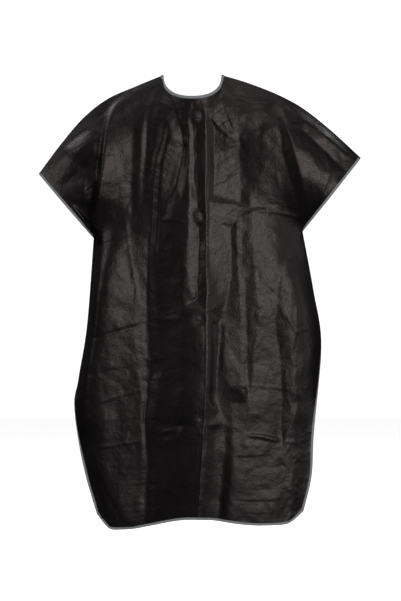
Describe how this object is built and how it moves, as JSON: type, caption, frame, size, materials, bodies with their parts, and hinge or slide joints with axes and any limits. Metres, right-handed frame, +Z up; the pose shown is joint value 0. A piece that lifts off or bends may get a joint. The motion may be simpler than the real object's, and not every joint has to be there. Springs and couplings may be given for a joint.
{
  "type": "open-front salon client cape",
  "caption": "Knee-length salon client cape with cut-on short sleeves, round bound neck, snap-closed overlapping front and open side slits.",
  "frame": {"origin": "middle of the neck opening, level with the two points where the neck edge crosses the shoulders", "axes": "+Z up out of the neck opening, -Y to the wearer's front, +X to the wearer's left"},
  "size_m": [0.7732, 0.2754, 1.079],
  "materials": {
    "cloth": "satin",
    "binding": "matte",
    "snap": "gloss"
  },
  "bodies": {
    "root": {"back_panel": "cloth", "right_front_side": "cloth", "left_front_side": "cloth", "shoulder_seam_right": "cloth", "shoulder_seam_left": "cloth", "side_seam_right": "cloth", "side_seam_left": "cloth", "neck_binding_back": "binding", "neck_binding_right_side": "binding", "neck_binding_left_side": "binding", "hem_binding_back": "binding", "hem_binding_right_side": "binding", "hem_binding_left_side": "binding", "sleeve_binding_right_front": "binding", "sleeve_binding_right_back": "binding", "sleeve_binding_left_front": "binding", "sleeve_binding_left_back": "binding"},
    "right_front": {"right_front_flap": "cloth", "right_placket_facing": "cloth", "neck_binding_right_flap": "binding", "hem_binding_right_flap": "binding", "snap_cap_1": "snap", "snap_cap_2": "snap", "snap_cap_3": "snap", "snap_cap_4": "snap", "snap_socket_1": "snap", "snap_socket_2": "snap", "snap_socket_3": "snap", "snap_socket_4": "snap"},
    "left_front": {"left_front_flap": "cloth", "left_placket_facing": "cloth", "neck_binding_left_flap": "binding", "hem_binding_left_flap": "binding", "snap_stud_1": "snap", "snap_stud_2": "snap", "snap_stud_3": "snap", "snap_stud_4": "snap", "snap_back_cap_1": "snap", "snap_back_cap_2": "snap", "snap_back_cap_3": "snap", "snap_back_cap_4": "snap"}
  },
  "joints": [
    {"name": "right_front_fold", "type": "hinge", "parent": "root", "child": "right_front", "pos_m": [-0.045, -0.05272, -0.04688], "axis": [-0.1164, -0.064, -0.9911], "range_deg": [0, 110]},
    {"name": "left_front_fold", "type": "hinge", "parent": "root", "child": "left_front", "pos_m": [0.06, -0.03606, -0.03369], "axis": [-0.1206, 0.0746, 0.9899], "range_deg": [0, 70]}
  ],
  "couplings": [
    {"joint": "left_front_fold", "follows": "right_front_fold", "ratio": 0.6}
  ]
}
